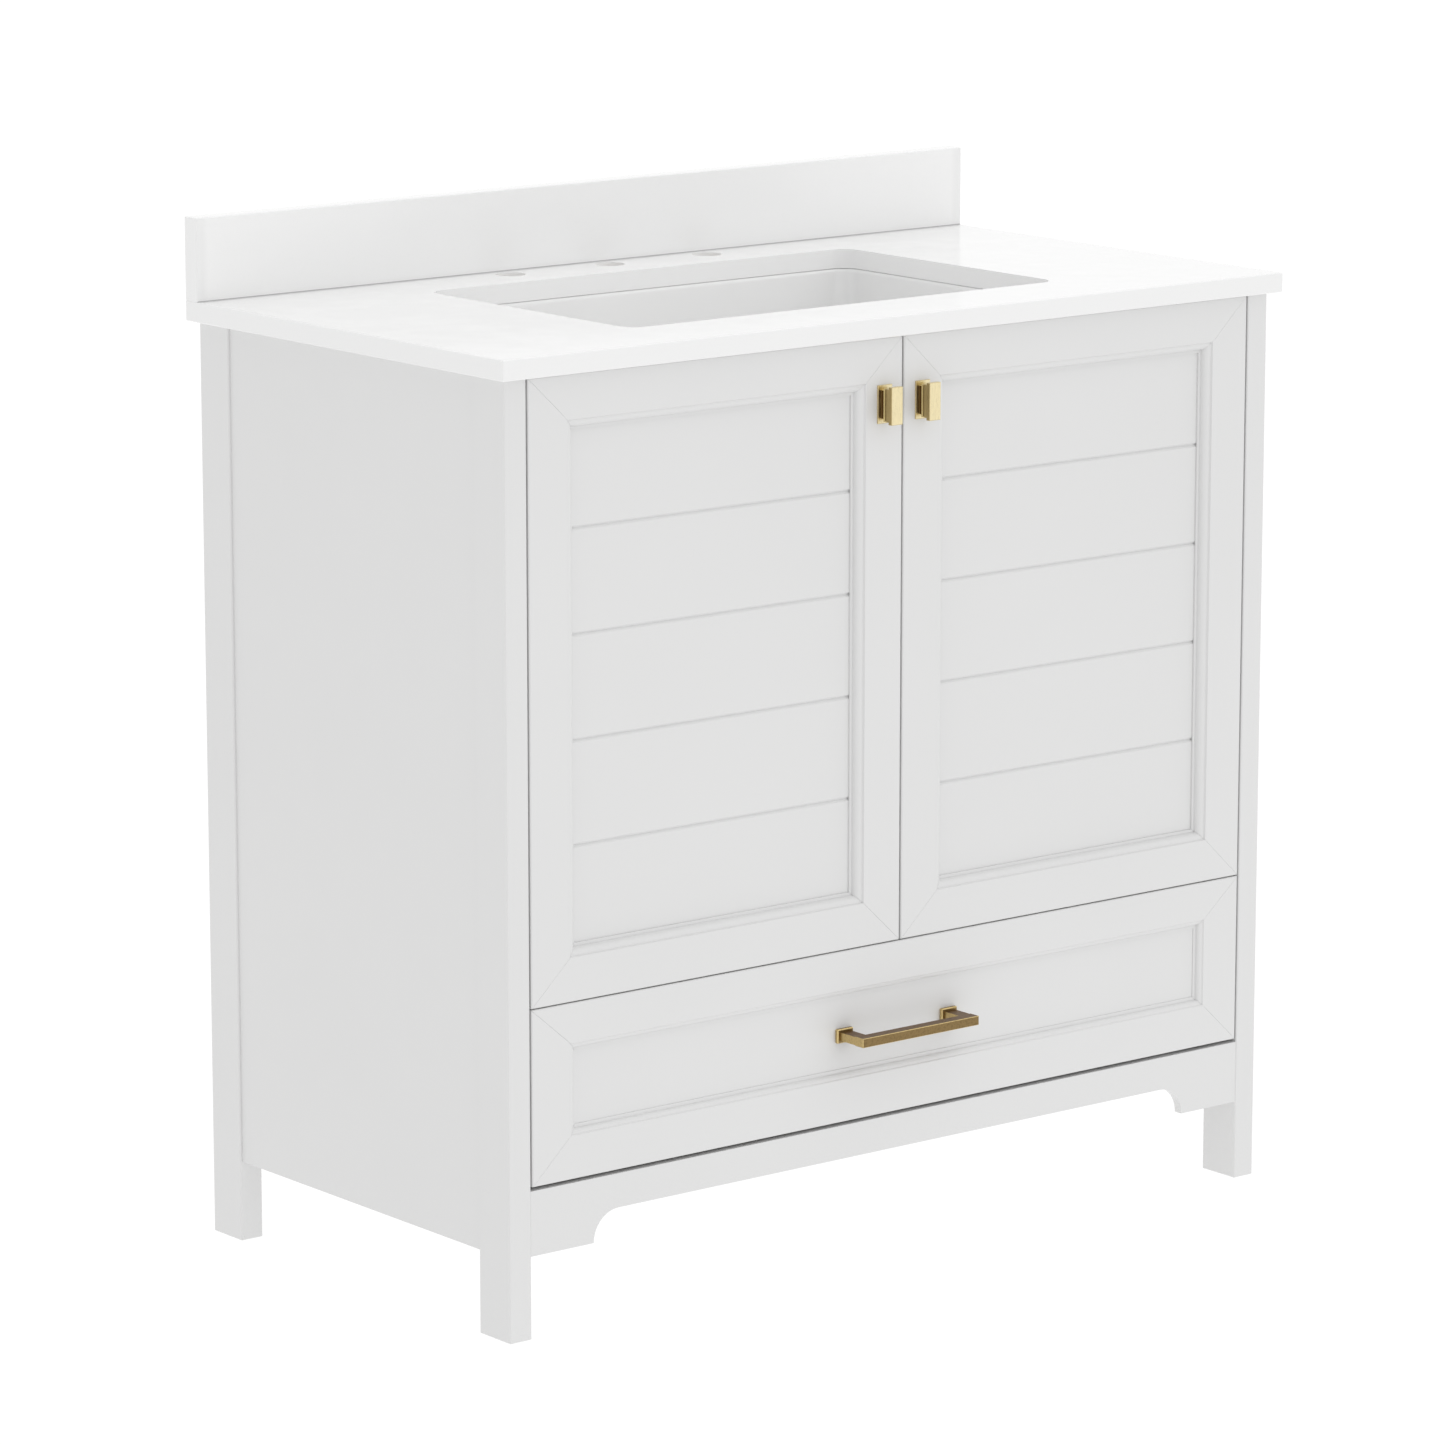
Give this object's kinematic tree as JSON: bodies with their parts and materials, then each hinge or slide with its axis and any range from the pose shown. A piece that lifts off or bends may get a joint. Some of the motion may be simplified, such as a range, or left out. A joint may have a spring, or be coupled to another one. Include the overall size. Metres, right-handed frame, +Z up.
{
  "type": "bathroom vanity cabinet",
  "caption": "Freestanding bathroom vanity with a stone top, undermount rectangular basin, backsplash, inset doors, a full-width drawer and a shaped apron on legs.",
  "frame": {"origin": "on the floor, at the middle of the object's footprint (pull to wall, side to side)", "axes": "+X to the right of a person facing the doors, +Y towards the wall, +Z up"},
  "size_m": [0.9144, 0.503, 0.9556],
  "materials": {
    "white_paint": "satin white paint on wood and fibreboard",
    "engineered_stone": "polished white",
    "basin_glaze": "glossy white glaze",
    "light_brass": "brushed light gold",
    "dark_brass": "brushed aged brass",
    "bare_wood": "clear-lacquered birch plywood",
    "zinc_steel": "zinc-plated steel",
    "bumper": "soft clear bumper"
  },
  "bodies": {
    "cabinet": {"leg_front_left": "white_paint", "leg_front_right": "white_paint", "leg_back_left": "white_paint", "leg_back_right": "white_paint", "side_panel_left": "white_paint", "side_panel_right": "white_paint", "apron": "white_paint", "front_rail": "bare_wood", "deck": "bare_wood", "bottom_panel": "white_paint", "back_rail_top": "bare_wood", "back_rail_middle": "bare_wood", "back_rail_bottom": "bare_wood", "slide_batten_left": "bare_wood", "slide_batten_right": "bare_wood", "corner_blocks": "bare_wood", "stone_top": "engineered_stone", "backsplash": "engineered_stone", "sink_basin": "basin_glaze", "sink_clips": "zinc_steel", "hinge_arms_left": "zinc_steel", "hinge_arms_right": "zinc_steel", "slide_case_left": "zinc_steel", "slide_case_right": "zinc_steel"},
    "slide_middle": {"slide_middle_left": "zinc_steel", "slide_middle_right": "zinc_steel"},
    "drawer": {"slide_drawer_left": "zinc_steel", "slide_drawer_right": "zinc_steel", "drawer_stile_left": "white_paint", "drawer_stile_right": "white_paint", "drawer_rail_top": "white_paint", "drawer_rail_bottom": "white_paint", "drawer_panel": "white_paint", "drawer_side_left": "bare_wood", "drawer_side_right": "bare_wood", "drawer_box_front": "bare_wood", "drawer_box_back": "bare_wood", "drawer_bottom": "bare_wood", "drawer_pull": "dark_brass", "pull_screws": "zinc_steel"},
    "door_left": {"door_left_stile_outer": "white_paint", "door_left_stile_inner": "white_paint", "door_left_rail_top": "white_paint", "door_left_rail_bottom": "white_paint", "door_left_panel": "white_paint", "door_left_knob": "light_brass", "door_left_knob_screw": "zinc_steel", "door_left_hinge_cups": "zinc_steel", "door_left_bumpers": "bumper"},
    "door_right": {"door_right_stile_outer": "white_paint", "door_right_stile_inner": "white_paint", "door_right_rail_top": "white_paint", "door_right_rail_bottom": "white_paint", "door_right_panel": "white_paint", "door_right_knob": "light_brass", "door_right_knob_screw": "zinc_steel", "door_right_hinge_cups": "zinc_steel", "door_right_bumpers": "bumper"}
  },
  "joints": [
    {"name": "door_left_swing", "type": "hinge", "parent": "cabinet", "child": "door_left", "pos_m": [-0.422, -0.22045, 0.5796], "axis": [0, 0, -1], "range_deg": [0, 105]},
    {"name": "door_right_swing", "type": "hinge", "parent": "cabinet", "child": "door_right", "pos_m": [0.422, -0.22045, 0.5796], "axis": [0, 0, 1], "range_deg": [0, 105]},
    {"name": "drawer_travel", "type": "slide", "parent": "cabinet", "child": "drawer", "axis": [0, -1, 0], "range_m": [0, 0.38]},
    {"name": "slide_middle_travel", "type": "slide", "parent": "cabinet", "child": "slide_middle", "axis": [0, -1, 0], "range_m": [0, 0.19]}
  ],
  "couplings": [
    {"joint": "slide_middle_travel", "follows": "drawer_travel", "ratio": 0.5}
  ]
}
